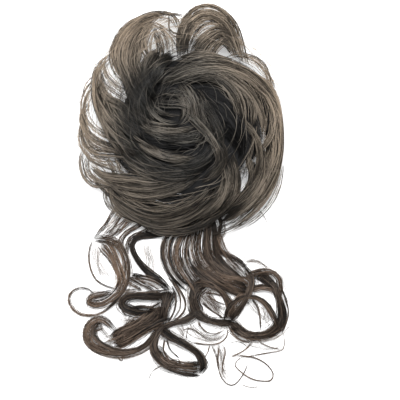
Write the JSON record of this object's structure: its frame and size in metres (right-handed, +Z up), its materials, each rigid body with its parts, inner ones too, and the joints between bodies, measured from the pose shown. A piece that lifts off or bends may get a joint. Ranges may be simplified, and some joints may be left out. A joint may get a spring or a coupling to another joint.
{
  "type": "top knot hairpiece",
  "caption": "Messy-bun hairpiece: swirled hair locks sewn round an elastic ring, with loose curled tails, lying flat.",
  "frame": {"origin": "middle of the whole piece's outline, on the surface that it lies on", "axes": "+Z up from the surface through the bun; +Y from the tails towards the top of the bun; +X to the right seen from above with the tails down"},
  "size_m": [0.1618, 0.2792, 0.0617],
  "materials": {
    "elastic": "matte",
    "bun_hair": "satin",
    "tail_hair": "satin"
  },
  "bodies": {
    "root": {"elastic_band": "elastic", "bun_hair": "bun_hair", "tail_left": "tail_hair", "tail_middle": "tail_hair", "tail_right": "tail_hair"}
  },
  "joints": []
}
